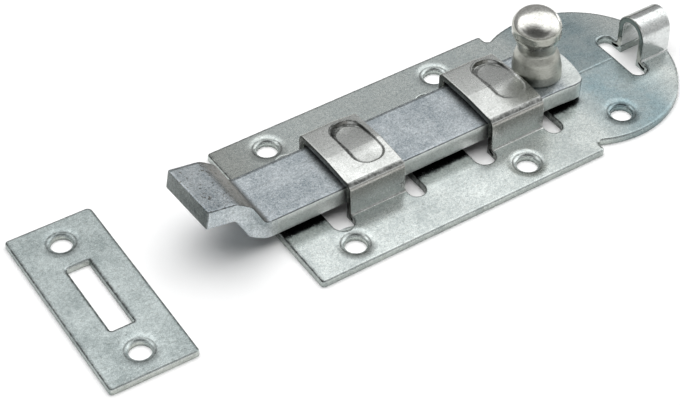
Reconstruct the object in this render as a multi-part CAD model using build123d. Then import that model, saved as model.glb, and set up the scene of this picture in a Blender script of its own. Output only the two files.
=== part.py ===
from build123d import *
import math
import os

os.makedirs("parts", exist_ok=True)

# Cranked barrel bolt in zinc-plated steel. All sizes are in millimetres.
# The sheet of the backplate lies on z = 0 and the bolt runs along x: the cranked tip
# points to -x and the padlock eye stands at the +x end. The origin is the middle of the
# four screw holes of the rectangular part of the backplate.

# Sheet and screw holes
sheet = 1.5
hole_radius = 2.25
hole_rim_width = 0.8
hole_dish_width = 0.95
hole_dish_depth = 0.3
hole_land = 0.4
edge_break = 0.3
corner_radius = 0.5

# Backplate outline
plate_width = 44.0
plate_end_margin = 11.2
hole_spacing_x = 42.0
hole_edge_margin = 5.5
head_inset = 0.6
head_overlap = 10.2
neck_fillet = 0.9
head_hole_shift = 0.2
head_hole_y = 14.8

# Bolt bar
bar_width = 14.6
bar_thickness = 4.3
bar_plate_gap = 1.5
bar_travel = 16.5
bar_stop_clearance = 0.2
bar_rear_reach = 8.25
bar_rear_radius = 21.0
bar_corner_radius = 0.9
bar_edge_break = 0.3
crank_angle = 63.5
crank_rise = 8.2
crank_inner_radius = 1.1
crank_strap_clearance = 0.69
tip_length = 7.8
tip_tilt = 10.0

# Strap guides
strap_1_x = -11.0
strap_2_x = 23.6
strap_width = 13.2
strap_side_clearance = 0.7
strap_top_clearance = 0.3
strap_inner_bend = 0.5
strap_foot_radius = 0.4
slot_left_width = 4.7
slot_right_width = 3.8
slot_reach = 3.1

# Pressed dimples on the straps
dimple_length = 12.4
dimple_width = 7.2
dimple_corner = 3.2
dimple_depth = 0.65
dimple_bulge = 0.25
dimple_1_shift_x = 1.9
dimple_2_shift_x = 2.5
dimple_shift_y = 1.5
dimple_draft = 25.0

# Padlock eye
eye_centre_y = -0.6
eye_outer_half = 4.05
eye_top = 10.7
eye_foot_radius = 0.6
eye_head_offset = 13.3
cutout_width = 3.7
cutout_reach = 3.15
cutout_corner = 1.7

# Knob
knob_radius = 5.2
knob_height = 15.3
knob_foot_height = 4.2
knob_waist_height = 7.2
knob_waist_width = 0.6
knob_waist_depth = 1.0
knob_head_height = 5.3
knob_shoulder = 1.4
knob_curve = 1.6
knob_lip = 0.3
knob_strap_clearance = 0.05
tenon_radius = 2.5
tail_flange = 0.9
tail_chamfer = 0.5
tail_clearance = 0.1

# Strike plate
strike_width = 18.8
strike_length = 45.4
strike_x = -69.3
strike_y = -1.0
strike_turn = -1.3
strike_slot_clearance_x = 0.7
strike_slot_clearance_y = 2.5
strike_hole_spacing = 33.0
strike_corner = 0.8

# The bar runs in the straps, over the backplate.
bar_bottom = sheet + bar_plate_gap
bar_top = bar_bottom + bar_thickness
strap_top = bar_top + strap_top_clearance + sheet
strap_outer_half = bar_width / 2 + strap_side_clearance + sheet
strap_inner_half = strap_outer_half - sheet
slot_half_length = strap_outer_half + slot_reach

# The knob stops against the second strap, and the rear of the bar stops against the eye.
knob_x = strap_2_x + strap_width / 2 + knob_strap_clearance + knob_radius
bar_rear = knob_x + bar_rear_reach
eye_left = bar_rear + bar_travel + bar_stop_clearance
cutout_half_length = eye_outer_half + cutout_reach

# The crank stays clear of the first strap when the bolt is drawn back.
crank_bend_reach = (bar_thickness / 2 + crank_inner_radius) * math.tan(math.radians(crank_angle / 2))
crank_low_x = strap_1_x - strap_width / 2 - bar_travel - crank_strap_clearance - crank_bend_reach

# The round head follows the eye, and the rectangular part follows its holes.
head_radius = plate_width / 2 - head_inset
head_centre_x = eye_left - eye_head_offset
plate_right = head_centre_x - head_overlap
plate_left = -hole_spacing_x / 2 - plate_end_margin
hole_spacing_y = plate_width - 2 * hole_edge_margin
head_hole_x = head_centre_x - head_hole_shift


def screw_hole_cutter(x, y):
    """Returns the solid cut away for one dished screw hole whose centre is x, y."""
    rim_level = sheet - hole_dish_depth
    rim_radius = hole_radius + hole_rim_width
    dish_radius = rim_radius + hole_dish_width
    above = sheet + 1.0
    section = Polyline(
        (0, -1.0),
        (hole_radius, -1.0),
        (hole_radius, hole_land),
        (rim_radius, rim_level),
        (dish_radius, sheet),
        (dish_radius, above),
        (0, above),
        (0, -1.0),
    )
    cutter = revolve(make_face(Plane.XZ * section), Axis.Z)
    return Pos(x, y, 0) * cutter


def block(x_range, y_range, z_range):
    """Returns a box from its limits along each axis."""
    size = [high - low for low, high in (x_range, y_range, z_range)]
    middle = [(high + low) / 2 for low, high in (x_range, y_range, z_range)]
    return Pos(*middle) * Box(*size)


def bridge_section(outer_half, top, bend):
    """Returns the upturned-U section of a strap bridging across y, from z = 0 to its top."""
    inner_half = outer_half - sheet
    outer = Pos(0, top / 2) * Rectangle(2 * outer_half, top)
    outer = fillet(outer.vertices().group_by(Axis.Y)[-1], bend + sheet)
    inner = Pos(0, (top - sheet) / 2) * Rectangle(2 * inner_half, top - sheet)
    inner = fillet(inner.vertices().group_by(Axis.Y)[-1], bend)
    return outer - inner


def foot_fillet(side, outer_half, radius, x_range):
    """Returns the small flare where the outside of a strap runs into the plate."""
    y = side * outer_half
    start = (y - side * 0.2, sheet - 0.2)
    corner = (y, sheet + radius)
    end = (y + side * radius, sheet)
    outline = Wire([
        Edge.make_line(start, (y - side * 0.2, sheet + radius)),
        Edge.make_line((y - side * 0.2, sheet + radius), corner),
        Edge.make_three_point_arc(
            corner,
            (y + side * radius * (1 - math.sqrt(0.5)), sheet + radius * (1 - math.sqrt(0.5))),
            end,
        ),
        Edge.make_line(end, (y + side * radius, sheet - 0.2)),
        Edge.make_line((y + side * radius, sheet - 0.2), start),
    ])
    face = Plane.YZ.offset(x_range[0]) * make_face(outline)
    return extrude(face, x_range[1] - x_range[0], dir=(1, 0, 0))


def backplate_outline():
    """Returns the flat outline of the backplate: a rectangle with a round head."""
    length = plate_right - plate_left
    rectangle = Pos(plate_left + length / 2, 0) * Rectangle(length, plate_width)
    rectangle = fillet(rectangle.vertices(), corner_radius)
    head = Pos(head_centre_x, 0) * Circle(head_radius)
    outline = rectangle + head
    neck_y = math.sqrt(head_radius**2 - head_overlap**2)
    neck = [outline.vertices().sort_by_distance((plate_right, side * neck_y, 0))[0] for side in (-1, 1)]
    return fillet(neck, neck_fillet)


def strap(centre_x, dimple_shift_x):
    """Returns one strap guide with its pressed dimple."""
    x_range = (centre_x - strap_width / 2, centre_x + strap_width / 2)
    section = bridge_section(strap_outer_half, strap_top, strap_inner_bend)
    face = Plane.YZ.offset(x_range[0]) * section
    body = extrude(face, strap_width, dir=(1, 0, 0))
    for side in (-1, 1):
        body += foot_fillet(side, strap_outer_half, strap_foot_radius, x_range)
    mouth = Pos(centre_x + dimple_shift_x, dimple_shift_y) * RectangleRounded(
        dimple_width, dimple_length, dimple_corner
    )
    bulge = Pos(0, 0, strap_top - sheet + 0.1) * mouth
    body += extrude(bulge, -(dimple_bulge + 0.1), taper=dimple_draft)
    recess = Pos(0, 0, strap_top) * mouth
    body -= extrude(recess, -dimple_depth, taper=dimple_draft)
    return body


def strap_window(centre_x):
    """Returns the cut through the plate under one strap and beside it."""
    left = centre_x - strap_width / 2
    right = centre_x + strap_width / 2
    x_range = (left - slot_left_width / 2, right + slot_right_width / 2)
    window = block(x_range, (-strap_inner_half, strap_inner_half), (-1.0, sheet + 1.0))
    for low, high in ((left - slot_left_width, left), (right, right + slot_right_width)):
        width = high - low
        slot = RectangleRounded(width, 2 * slot_half_length, width / 2 - 0.01)
        window += Pos((low + high) / 2, 0, -1.0) * extrude(slot, sheet + 2.0)
    return window


def padlock_eye():
    """Returns the arched strap of the padlock eye, out to the rim of the round head."""
    bend = eye_outer_half - sheet - 0.05
    x_end = head_centre_x + head_radius
    section = bridge_section(eye_outer_half, eye_top, bend)
    face = Plane.YZ.offset(eye_left) * (Pos(eye_centre_y, 0) * section)
    body = extrude(face, x_end + 1.0 - eye_left, dir=(1, 0, 0))
    for side in (-1, 1):
        flare = foot_fillet(side, eye_outer_half, eye_foot_radius, (eye_left, x_end + 1.0))
        body += Pos(0, eye_centre_y, 0) * flare
    rim = Pos(head_centre_x, 0, eye_top / 2) * Cylinder(head_radius, eye_top + 4.0)
    return body & rim


def eye_window():
    """Returns the cut through the head beside the eye and under it."""
    centre_x = eye_left - cutout_width / 2
    slot = RectangleRounded(cutout_width, 2 * cutout_half_length, cutout_corner)
    window = Pos(centre_x, eye_centre_y, -1.0) * extrude(slot, sheet + 2.0)
    inner_half = eye_outer_half - sheet
    x_end = head_centre_x + head_radius + 1.0
    y_range = (eye_centre_y - inner_half, eye_centre_y + inner_half)
    return window + block((centre_x, x_end), y_range, (-1.0, sheet + 1.0))


def make_backplate():
    """Returns the backplate: one stamped sheet with its straps, eye and screw holes."""
    plate = extrude(backplate_outline(), sheet)
    rim_edges = plate.edges().group_by(Axis.Z)[-1]
    plate = chamfer(rim_edges, edge_break)
    for centre_x in (strap_1_x, strap_2_x):
        plate -= strap_window(centre_x)
    plate -= eye_window()
    for x in (-hole_spacing_x / 2, hole_spacing_x / 2):
        for y in (-hole_spacing_y / 2, hole_spacing_y / 2):
            plate -= screw_hole_cutter(x, y)
    for y in (-head_hole_y, head_hole_y):
        plate -= screw_hole_cutter(head_hole_x, y)
    plate += strap(strap_1_x, dimple_1_shift_x)
    plate += strap(strap_2_x, dimple_2_shift_x)
    return plate + padlock_eye()


def crank_side_points():
    """Returns the outline of the bar seen from its side, as points in x and z."""
    middle = bar_bottom + bar_thickness / 2
    rise_angle = math.radians(180 - crank_angle)
    tilt = math.radians(180 - tip_tilt)
    run = crank_rise / math.sin(math.radians(crank_angle))
    low = (crank_low_x, middle)
    high = (low[0] + run * math.cos(rise_angle), low[1] + run * math.sin(rise_angle))
    end = (high[0] + tip_length * math.cos(tilt), high[1] + tip_length * math.sin(tilt))
    start = (bar_rear, middle)
    path = [start, low, high, end]
    angles = [math.radians(180), rise_angle, tilt]
    half = bar_thickness / 2
    sides = []
    for sign in (1, -1):
        points = []
        for index, (x, z) in enumerate(path):
            before = angles[max(index - 1, 0)]
            after = angles[min(index, 2)]
            bisector = (before + after) / 2
            reach = half / math.cos((after - before) / 2)
            normal = bisector - math.pi / 2
            points.append((x + sign * reach * math.cos(normal), z + sign * reach * math.sin(normal)))
        sides.append(points)
    return sides[0], sides[1]


def make_bar():
    """Returns the flat bar with its cranked tip and its hole for the knob."""
    top, bottom = crank_side_points()
    outline = Polyline(*top, *reversed(bottom), close=True)
    side = make_face(outline)
    inner = crank_inner_radius
    outer = crank_inner_radius + bar_thickness
    for point, radius in ((top[1], inner), (bottom[1], outer), (top[2], outer), (bottom[2], inner)):
        corner = side.vertices().sort_by_distance((point[0], point[1], 0))[0]
        side = fillet(corner, radius)
    bar = extrude(Plane.XZ * side, bar_width / 2, both=True)
    x_start = end_limit(top, bottom)
    length = bar_rear - x_start
    plan = Pos(x_start + length / 2, 0) * Rectangle(length, bar_width)
    arc_disc = Pos(bar_rear - bar_rear_radius, 0) * Circle(bar_rear_radius)
    keep = Pos(x_start + length / 2 - bar_rear_radius, 0) * Rectangle(length, bar_width)
    plan = (plan & arc_disc) + keep
    rear = plan.vertices().group_by(Axis.X)[-1]
    plan = fillet(rear, bar_corner_radius)
    bar = bar & extrude(plan, max(z for x, z in top) + 5.0)
    bar = chamfer(bar.edges(), bar_edge_break)
    bar -= Pos(knob_x, 0, bar_bottom) * Cylinder(tenon_radius, 4 * bar_thickness)
    return bar


def end_limit(top, bottom):
    """Returns an x a little beyond the end of the tip."""
    return min(top[-1][0], bottom[-1][0]) - 1.0


def make_knob():
    """Returns the turned knob with the tenon and the tail that rivet it to the bar."""
    tail_bottom = sheet + tail_clearance
    tail_radius = tenon_radius + tail_flange
    waist_radius = knob_radius - knob_waist_depth
    waist_bottom = bar_top + knob_waist_height - knob_waist_width / 2
    waist_top = waist_bottom + knob_waist_width
    foot_top = bar_top + knob_foot_height
    top = bar_top + knob_height
    head_bottom = top - knob_head_height
    section = Polyline(
        (0, tail_bottom),
        (tail_radius - tail_chamfer, tail_bottom),
        (tail_radius, bar_bottom - tail_chamfer),
        (tail_radius, bar_bottom),
        (tenon_radius, bar_bottom),
        (tenon_radius, bar_top),
        (knob_radius - knob_lip, bar_top),
        (knob_radius, bar_top + knob_lip),
        (knob_radius, foot_top),
        (waist_radius, waist_bottom),
        (waist_radius, waist_top),
        (knob_radius, head_bottom),
        (knob_radius, top),
        (0, top),
        (0, tail_bottom),
    )
    profile = make_face(section)
    for x, z, radius in (
        (knob_radius, foot_top, knob_curve),
        (knob_radius, head_bottom, knob_curve),
        (knob_radius, top, knob_shoulder),
    ):
        corner = profile.vertices().sort_by_distance((x, z, 0))[0]
        profile = fillet(corner, radius)
    return Pos(knob_x, 0, 0) * revolve(Plane.XZ * profile, Axis.Z)


def make_strike():
    """Returns the flat strike plate with its slot and its two screw holes."""
    outline = RectangleRounded(strike_width, strike_length, strike_corner)
    plate = extrude(outline, sheet)
    plate = chamfer(plate.edges().group_by(Axis.Z)[-1], edge_break)
    slot_width = bar_thickness + 2 * strike_slot_clearance_x
    slot_length = bar_width + 2 * strike_slot_clearance_y
    slot = RectangleRounded(slot_width, slot_length, strike_corner)
    plate -= Pos(0, 0, -1.0) * extrude(slot, sheet + 2.0)
    for y in (-strike_hole_spacing / 2, strike_hole_spacing / 2):
        plate -= screw_hole_cutter(0, y)
    return Pos(strike_x, strike_y, 0) * Rot(0, 0, strike_turn) * plate


export_step(make_backplate(), "parts/backplate.step")
export_step(make_bar(), "parts/bolt_bar.step")
export_step(make_knob(), "parts/knob.step")
export_step(make_strike(), "parts/strike_plate.step")
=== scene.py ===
import itertools
import math

import bmesh
import bpy
from bpy.props import FloatProperty, FloatVectorProperty, PointerProperty, StringProperty
from mathutils import Matrix, Vector, geometry, noise


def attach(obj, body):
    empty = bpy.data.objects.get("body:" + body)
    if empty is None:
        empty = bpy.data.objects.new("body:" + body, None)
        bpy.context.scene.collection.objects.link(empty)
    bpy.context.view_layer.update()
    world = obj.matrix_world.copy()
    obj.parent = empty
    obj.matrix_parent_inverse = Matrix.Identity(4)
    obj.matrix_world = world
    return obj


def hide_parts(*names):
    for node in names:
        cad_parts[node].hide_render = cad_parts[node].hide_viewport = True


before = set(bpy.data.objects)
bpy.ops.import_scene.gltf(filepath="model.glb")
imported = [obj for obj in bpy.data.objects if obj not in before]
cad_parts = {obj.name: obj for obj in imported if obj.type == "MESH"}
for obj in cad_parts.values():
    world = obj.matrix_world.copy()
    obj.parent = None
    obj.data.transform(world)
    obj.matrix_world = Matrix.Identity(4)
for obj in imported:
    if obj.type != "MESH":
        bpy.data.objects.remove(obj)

bl_info = {
    "name": "Cranked barrel bolt",
    "version": (1, 0, 0),
    "blender": (4, 5, 0),
    "location": "3D View > Sidebar > Barrel bolt",
    "description": "Makes a cranked barrel bolt with its strike plate, and a studio round it",
    "category": "Object",
}

MM = 0.001


# Sizes and colours


def length(name, description, millimetres):
    """Returns a length property whose default is given in millimetres."""
    default = millimetres * MM
    return FloatProperty(
        name=name, description=description, default=default, unit="LENGTH", precision=5
    )


def angle(name, description, degrees):
    """Returns an angle property whose default is given in degrees."""
    default = math.radians(degrees)
    return FloatProperty(name=name, description=description, default=default, subtype="ANGLE")


def amount(name, description, value, least=-1.0):
    """Returns a property for a plain number such as a slope or a level."""
    return FloatProperty(name=name, description=description, default=value, min=least)


def hex_colour(name, description, value):
    """Returns a text property that holds a colour as an sRGB hex value."""
    return StringProperty(name=name, description=description, default=value)


class SheetSizes(bpy.types.PropertyGroup):
    thickness: length("Thickness", "Thickness of the stamped sheet", 1.5)
    roll: length("Edge roll", "Radius that the punch leaves on the upper edges", 0.46)
    burr: length("Lower edge", "Small radius on the lower edges", 0.08)
    window_roll: length("Window roll", "Radius on the upper edges of slots and windows", 0.22)
    crown: length("Crown", "How much the middle of the plate stands above its long edges", 0.5)
    hole_radius: length("Hole radius", "Radius of the screw holes", 2.25)
    rim_radius: length("Rim radius", "Radius of a screw hole's rolled-in rim", 3.15)
    flare: length("Flare", "Height of a screw hole's rolled-in rim", 0.55)
    dish_radius: length("Dish radius", "Radius at which the soft dish runs out into the sheet", 4.6)
    dish_depth: length("Dish depth", "How far a screw hole's rim lies below the sheet", 0.15)


class PlateSizes(bpy.types.PropertyGroup):
    width: length("Width", "Width of the rectangular part", 44.0)
    left: length("Left end", "Place of the plate's left end along X", -32.2)
    right: length("Right end", "Place along X where the rectangular part meets the round head", 36.9)
    head_radius: length("Head radius", "Radius of the round head", 21.4)
    head_centre: length("Head centre", "Place of the head's centre along X", 47.1)
    neck_fillet: length("Neck fillet", "Radius of the inner corner between rectangle and head", 0.9)
    corner: length("Corner radius", "Radius of the plate's corners", 0.75)
    hole_spacing_x: length("Hole spacing X", "Distance between the corner holes along the plate", 42.0)
    hole_spacing_y: length("Hole spacing Y", "Distance between the corner holes across the plate", 33.0)
    head_hole_x: length("Head hole X", "Place of the two head holes along X", 46.9)
    head_hole_y: length("Head hole Y", "Distance of the two head holes from the bolt's line", 14.8)
    crease_start: length("Crease start", "Place along X where the crease leaves the bar", 38.0)
    crease_line: length("Crease line", "Place of the crease across the plate", -0.4)


class StrapSizes(bpy.types.PropertyGroup):
    first_x: length("First strap", "Middle of the first strap along X", -11.0)
    second_x: length("Second strap", "Middle of the second strap along X", 23.6)
    width: length("Width", "Width of a strap along the bolt", 13.2)
    foot_half: length("Half span at the foot", "Distance from the bolt's line to a strap's foot", 9.68)
    top_half: length("Half span at the top", "Distance from the bolt's line to a strap's bend", 9.35)
    top: length("Top", "Height of a strap's top face", 8.85)
    bend: length("Bend radius", "Outer radius of a strap's upper bends", 1.5)
    foot_radius: length("Foot radius", "Radius where a strap leaves the sheet", 0.45)
    slot_left: length("Left slot", "Width of the slot to the left of a strap", 4.7)
    slot_right: length("Right slot", "Width of the slot to the right of a strap", 3.8)
    slot_half: length("Half slot length", "Half length of the slots across the plate", 12.6)
    dimple_length: length("Dimple length", "Length of a pressed dimple across the plate", 13.4)
    dimple_width: length("Dimple width", "Width of a pressed dimple along the plate", 7.2)
    dimple_corner: length("Dimple corner", "Corner radius of a pressed dimple", 3.2)
    dimple_depth: length("Dimple depth", "Depth of a dimple at its far end", 1.0)


class EyeSizes(bpy.types.PropertyGroup):
    left: length("Left edge", "Place of the eye's left edge along X", 60.4)
    centre_y: length("Middle", "Place of the eye's middle across the plate", -0.6)
    half: length("Half span", "Half of the eye's outer span", 4.05)
    top: length("Top", "Height of the eye's top", 10.6)
    foot_radius: length("Foot radius", "Radius where the eye leaves the sheet", 0.8)
    cutout_width: length("Cut-out width", "Width of the cut-out beside the eye", 3.7)
    cutout_half: length("Cut-out half length", "Half length of the cut-out across the plate", 7.2)
    cutout_corner: length("Cut-out corner", "Corner radius of the cut-out", 1.7)


class BarSizes(bpy.types.PropertyGroup):
    width: length("Width", "Width of the flat bar", 14.6)
    thickness: length("Thickness", "Thickness of the flat bar", 4.3)
    bottom: length("Underside", "Height of the bar's underside", 3.0)
    rear: length("Rear end", "Place of the bar's rear end along X", 43.7)
    rear_radius: length("Rear radius", "Radius of the bar's rounded rear end", 21.0)
    corner: length("Corner radius", "Radius of the rear corners seen from above", 1.7)
    edge: length("Edge radius", "Radius of the bar's long edges", 0.34)
    low_x: length("First bend", "Place along X where the middle line of the bar first bends", -36.79)
    rise: length("Rise", "Height that the crank lifts the tip", 8.2)
    tip: length("Tip length", "Length of the tip beyond its bend", 7.95)
    inner_radius: length("Inner bend radius", "Inner radius of both bends", 1.9)
    thinning: length("Thinning", "How much the outside of a bend is drawn in", 0.3)
    crank: angle("Crank angle", "Angle of the crank above the plate", 63.5)
    tilt: angle("Tip tilt", "Angle of the tip above the plate", 10.0)


class KnobSizes(bpy.types.PropertyGroup):
    centre_x: length("Middle", "Place of the knob's axis along X", 35.45)
    base: length("Base", "Height at which the knob stands on the bar", 7.3)
    radius: length("Radius", "Largest radius of the head", 5.19)
    foot_radius: length("Foot radius", "Largest radius of the foot", 5.25)
    height: length("Height", "Height of the knob above the bar", 15.05)
    foot: length("Foot height", "Height at which the foot starts to narrow", 2.4)
    waist: length("Waist height", "Height of the waist", 7.2)
    waist_depth: length("Waist depth", "How much narrower the waist is", 1.2)
    head: length("Head height", "Height of the head's straight part and top", 4.2)
    shoulder: length("Shoulder", "Radius between the head's side and its top", 2.1)
    crown_radius: length("Crown radius", "Radius of the domed top", 14.0)
    mark_depth: length("Tool mark depth", "Depth of the rings that the turning tool leaves", 0.008)
    mark_spacing: length("Tool mark spacing", "Distance between the turning tool's rings", 0.55)
    slope_x: amount("Slope X", "Slope of the hand-finished top along X", 0.07)
    slope_y: amount("Slope Y", "Slope of the hand-finished top along Y", 0.11)
    lean_x: amount("Lean X", "How far the riveted knob leans towards the strap", 0.05)
    lean_y: amount("Lean Y", "How far the riveted knob leans across the bolt", 0.03)


class StrikeSizes(bpy.types.PropertyGroup):
    width: length("Width", "Width of the strike plate", 18.8)
    length: length("Length", "Length of the strike plate", 45.4)
    centre_x: length("Middle X", "Place of its middle along X", -69.3)
    centre_y: length("Middle Y", "Place of its middle across the bolt", -1.0)
    turn: angle("Turn", "How far the loose plate is turned on the ground", -1.3)
    corner: length("Corner radius", "Radius of its corners", 0.8)
    slot_width: length("Slot width", "Width of the slot for the bar's tip", 4.9)
    slot_length: length("Slot length", "Length of the slot for the bar's tip", 18.8)
    slot_roll: length("Slot roll", "Radius that the punch leaves on the slot's upper edges", 0.62)
    hole_spacing: length("Hole spacing", "Distance between its two screw holes", 33.0)


class ZincColours(bpy.types.PropertyGroup):
    plate_light: hex_colour("Plate, light", "Light tone of the zinc on the sheet", "E0E6E3")
    plate_dark: hex_colour("Plate, dark", "Dark tone of the zinc on the sheet", "ACB5B5")
    strap_light: hex_colour("Strap, light", "Light tone of the zinc on the strap guides", "E6E8E6")
    strap_dark: hex_colour("Strap, dark", "Dark tone of the zinc on the strap guides", "BEC1BE")
    eye_light: hex_colour("Eye, light", "Light tone of the zinc on the padlock eye", "E6E9E8")
    eye_dark: hex_colour("Eye, dark", "Dark tone of the zinc on the padlock eye", "BEC2C1")
    bar_light: hex_colour("Bar, light", "Light tone of the zinc on the bar", "DBE1E4")
    bar_dark: hex_colour("Bar, dark", "Dark tone of the zinc on the bar", "89949B")
    knob_light: hex_colour("Knob, light", "Light tone of the zinc on the knob", "E8E8E4")
    knob_dark: hex_colour("Knob, dark", "Dark tone of the zinc on the knob", "CACAC4")
    strike_light: hex_colour("Strike, light", "Light tone of the zinc on the strike plate", "D6DFDE")
    strike_dark: hex_colour("Strike, dark", "Dark tone of the zinc on the strike plate", "98A3A3")
    # Tones of a painted highlight on the bar's sides and rear top, the straps' near legs and the
    # strike's near walls.
    flank_highlight_light: hex_colour("Side, light", "Light tone of the zinc on the bar's sides", "F2F6F3")
    flank_highlight_dark: hex_colour("Side, dark", "Dark tone of the zinc on the bar's sides", "C6CCC8")
    sheared: hex_colour("Sheared edge", "Tint of the cut faces of sheet and bar", "B9BBB5")
    # Brownish tint: wear on the bar's bend, tip end and pits, painted shade on the straps' near legs,
    # and a darker patch at the plate's far left.
    worn: hex_colour("Worn", "Brownish tint of the zinc where the bend has stretched it", "A8A198")
    # Tone of painted dark lines where edges, bends and rims mirror dark or lie in shade; scratches use
    # it too.
    rim: hex_colour("Rim", "Tone of the darkened line along punched edges", "3C3E3C")
    stain: hex_colour("Stain", "Tint of the duller zinc on the round head", "B7C9D1")
    # Tone of painted shade under and beside the bar, inside the straps and on the bar's underside.
    grease: hex_colour("Grease", "Tone of the old grease where the bar slides", "1E201F")
    floor: hex_colour("Floor", "Colour of the pale floor", "FFFFFF")


class StudioSettings(bpy.types.PropertyGroup):
    camera_place: FloatVectorProperty(
        name="Camera place",
        description="Where the camera stands",
        default=(-0.1714, -0.2420, 0.2728),
        unit="LENGTH",
    )
    yaw: angle("Yaw", "Turn of the view to the right of +Y", 33.06)
    pitch: angle("Pitch", "Tilt of the view below the horizon", 43.83)
    roll: angle("Roll", "Roll of the camera", -0.286)
    lens: amount("Lens", "Focal length of the camera in millimetres", 103.92, 1.0)
    sky: amount("Sky level", "Level of the light tent in the metal's reflections", 1.1, 0.0)
    key: amount("Key level", "Level of the small lamp to the right", 1.0, 0.0)
    fill: amount("Fill level", "Level of the tent's light on the paper", 0.08, 0.0)
    lift: amount("Paper lift", "Light that the paper adds where it is seen", 0.02, 0.0)
    softbox: amount("Softbox power", "Power of the soft lamp in watts", 16.5, 0.0)
    softbox_size: amount("Softbox size", "Width of the round soft lamp in metres", 1.65, 0.0)
    softbox_aim: FloatVectorProperty(
        name="Softbox aim",
        description="Direction from the bolt to the soft lamp",
        default=(0.07, 0.12, 0.99),
        subtype="DIRECTION",
    )


GROUPS = {
    "sheet": SheetSizes,
    "plate": PlateSizes,
    "strap": StrapSizes,
    "eye": EyeSizes,
    "bar": BarSizes,
    "knob": KnobSizes,
    "strike": StrikeSizes,
    "zinc": ZincColours,
    "studio": StudioSettings,
}


def group(context, key):
    """Returns one of the scene's groups of settings."""
    return getattr(context.scene, "barrel_bolt_" + key)


# Outlines and meshes


def arc(centre, radius, start, end, steps):
    """Returns points of an arc round a centre, from one angle to another in degrees."""
    points = []
    for step in range(steps + 1):
        turn = math.radians(start + (end - start) * step / steps)
        x, y = centre[0] + radius * math.cos(turn), centre[1] + radius * math.sin(turn)
        points.append(Vector((x, y)))
    return points


def rounded(corners, closed=True, step_angle=12.0):
    """Returns the points of a line through corners (x, y, radius), each rounded by its radius."""
    points = []
    count = len(corners)
    for index, (x, y, radius) in enumerate(corners):
        here = Vector((x, y))
        at_end = not closed and index in (0, count - 1)
        if radius <= 0 or at_end:
            points.append(here)
            continue
        before = (Vector(corners[index - 1][:2]) - here).normalized()
        after = (Vector(corners[(index + 1) % count][:2]) - here).normalized()
        inside = before.angle(after)
        reach = radius / math.tan(inside / 2)
        centre = here + (before + after).normalized() * (radius / math.sin(inside / 2))
        first, last = here + before * reach - centre, here + after * reach - centre
        turn = first.angle_signed(last)
        steps = max(2, round(abs(math.degrees(turn)) / step_angle))
        for step in range(steps + 1):
            spun = Matrix.Rotation(-turn * step / steps, 2) @ first
            points.append(centre + spun)
    return points


def area(points):
    """Returns the signed area of a closed outline, positive when it runs counter-clockwise."""
    return sum(a.x * b.y - b.x * a.y for a, b in zip(points, points[1:] + points[:1])) / 2


def inward(points, into_left):
    """Returns a unit vector for each point of a closed outline, pointing into the material."""
    vectors = []
    count = len(points)
    side = 1 if into_left else -1
    for index, here in enumerate(points):
        a = here - points[index - 1]
        b = points[(index + 1) % count] - here
        normals = [Vector((-d.y, d.x)).normalized() * side for d in (a, b) if d.length > 1e-9]
        middle = sum(normals, Vector((0, 0)))
        middle.normalize()
        cosine = max(0.5, middle.dot(normals[0]))
        vectors.append(middle / cosine)
    return vectors


def inside(point, points):
    """Tells whether a point lies inside a closed outline."""
    hit = False
    for a, b in zip(points, points[1:] + points[:1]):
        if (a.y > point.y) != (b.y > point.y):
            if point.x < (b.x - a.x) * (point.y - a.y) / (b.y - a.y) + a.x:
                hit = not hit
    return hit


def bridge(bm, lower, upper):
    """Joins two closed rings of vertices with quads and returns them."""
    made = []
    for index in range(len(lower)):
        after = (index + 1) % len(lower)
        made.append(bm.faces.new((lower[index], lower[after], upper[after], upper[index])))
    return made


def edge_profile(thickness, roll, burr):
    """Returns (inset, height) pairs up the edge of a punched sheet."""
    # A narrow flat band beside the roll keeps its shading off the wide face.
    band = 0.22 * MM
    profile = [(burr, 0.0), (burr * 0.3, burr * 0.3), (0.0, burr)]
    for step in range(6):
        turn = math.radians(90 * step / 5)
        profile.append((roll * (1 - math.cos(turn)), thickness - roll + roll * math.sin(turn)))
    profile.append((roll + band, thickness))
    return profile


def screw_profile(sheet):
    """Returns (radius, height) pairs up the wall of a dished screw hole."""
    top = sheet.thickness
    rim = top - sheet.dish_depth
    bore, flare = sheet.hole_radius, sheet.flare
    profile = [(bore + 0.06 * MM, 0.0), (bore, 0.06 * MM), (bore, rim - flare)]
    for step in range(1, 8):
        turn = math.radians(90 * step / 7)
        out = (sheet.rim_radius - bore) * (1 - math.cos(turn))
        profile.append((bore + out, rim - flare + flare * math.sin(turn)))
    run = sheet.dish_radius - sheet.rim_radius
    for share in (0.1, 0.22, 0.4, 0.6, 0.8, 1.0):
        ease = 1 - (1 - share) ** 2.2
        profile.append((sheet.rim_radius + run * share, rim + (top - rim) * ease))
    return profile


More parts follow.
